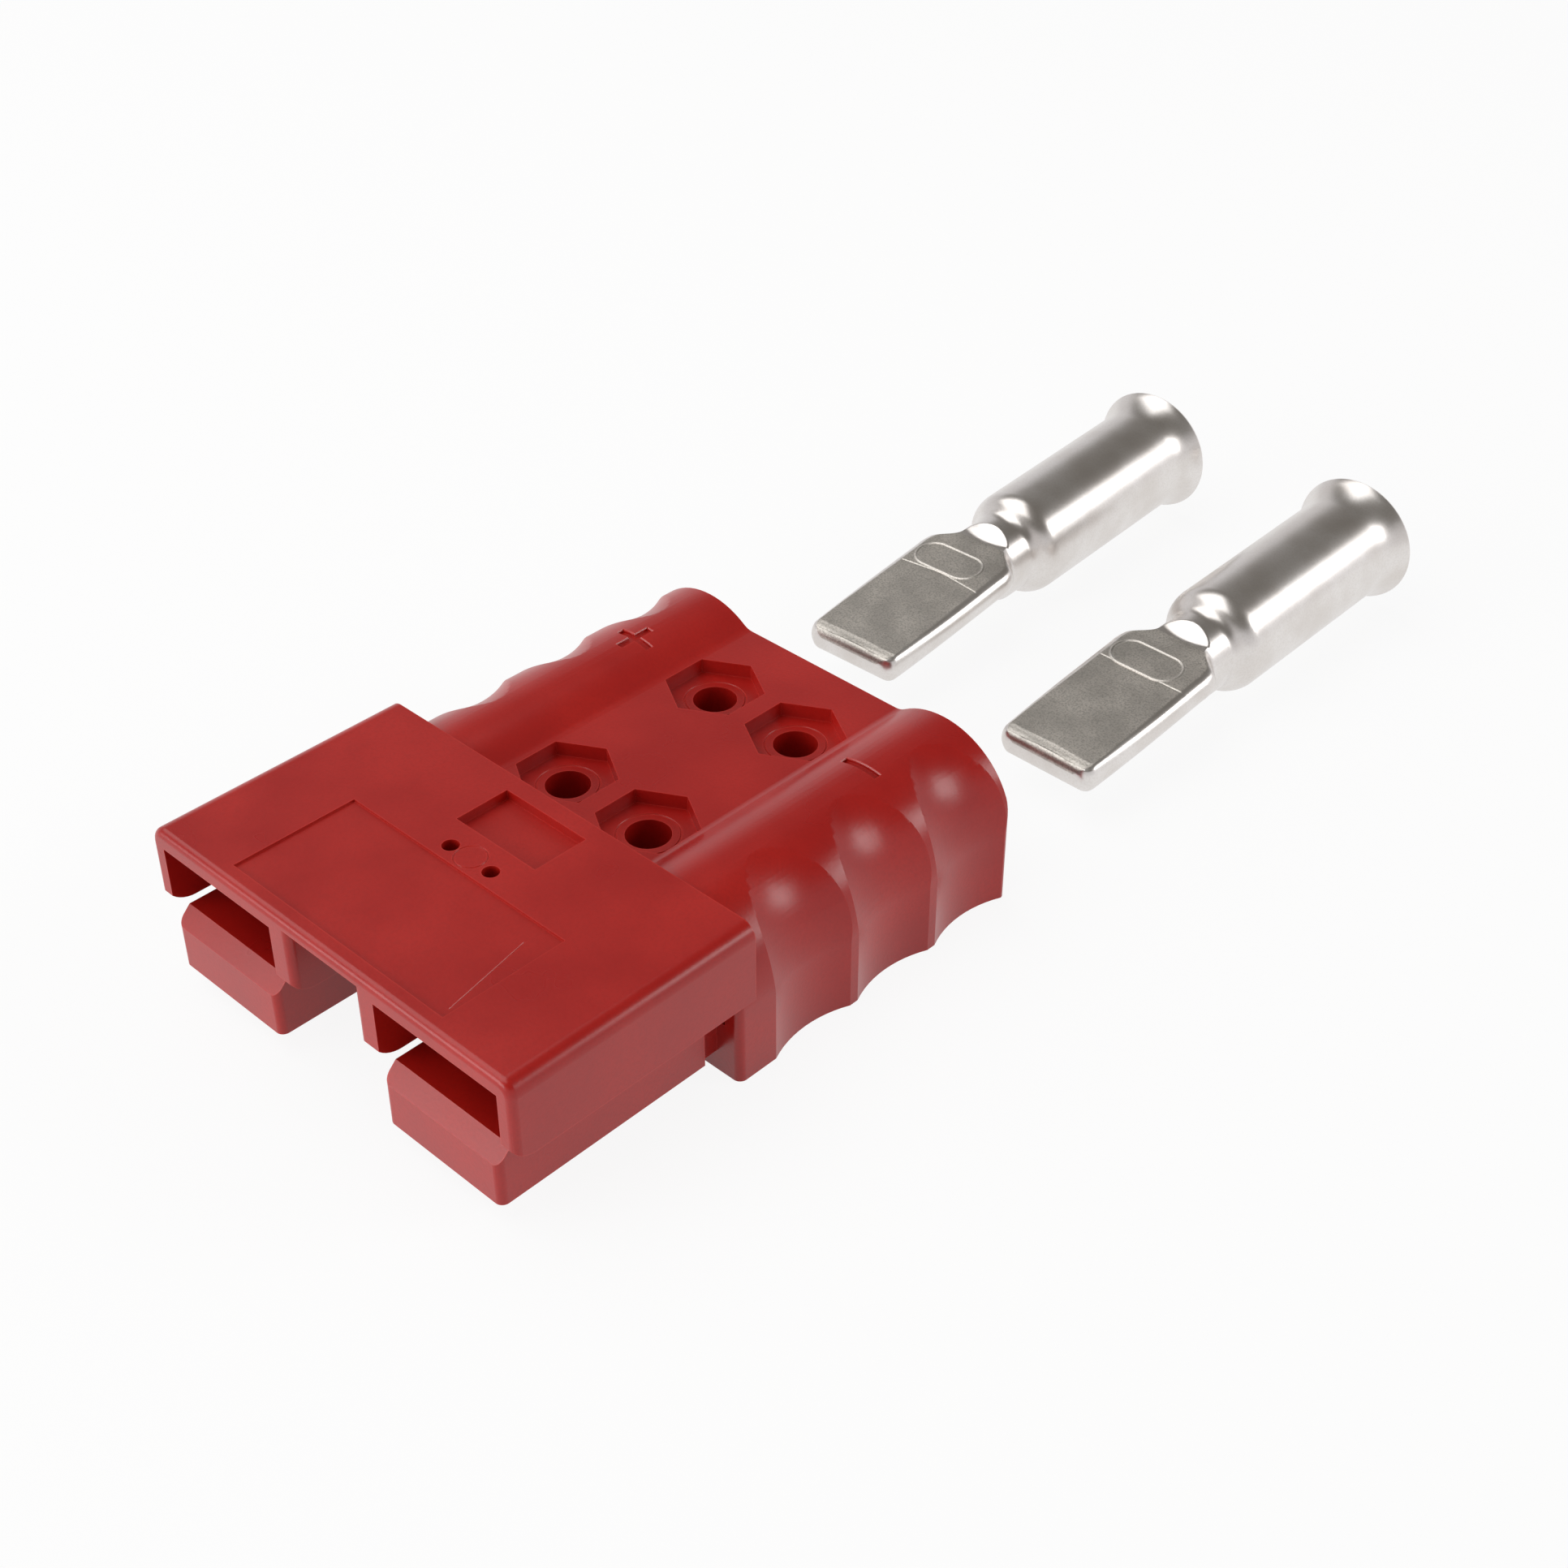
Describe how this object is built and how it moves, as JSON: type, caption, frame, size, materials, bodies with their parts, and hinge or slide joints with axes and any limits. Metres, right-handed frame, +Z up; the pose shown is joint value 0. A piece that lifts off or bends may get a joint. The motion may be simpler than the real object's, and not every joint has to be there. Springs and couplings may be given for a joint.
{
  "type": "genderless power connector",
  "caption": "Flat genderless power connector: red moulded housing with hooded mating face, finger scoops and nut pockets, with loose silver-plated crimp contacts and leaf springs.",
  "frame": {"origin": "centre of the four fixing holes, on the housing's flat base", "axes": "+Z up out of the base along the fixing holes, +Y from the mating face toward the cable ends, +X from the plus pole to the minus pole"},
  "size_m": [0.0747, 0.2019, 0.0256],
  "materials": {
    "housing_red": "moulded red plastic, semi-matt",
    "spring_steel": "stainless spring strip",
    "contact_silver": "silver-plated copper, satin"
  },
  "bodies": {
    "root": {"housing": "housing_red", "spring_plus": "spring_steel", "spring_minus": "spring_steel", "contact_plus": "contact_silver", "contact_minus": "contact_silver"}
  },
  "joints": []
}
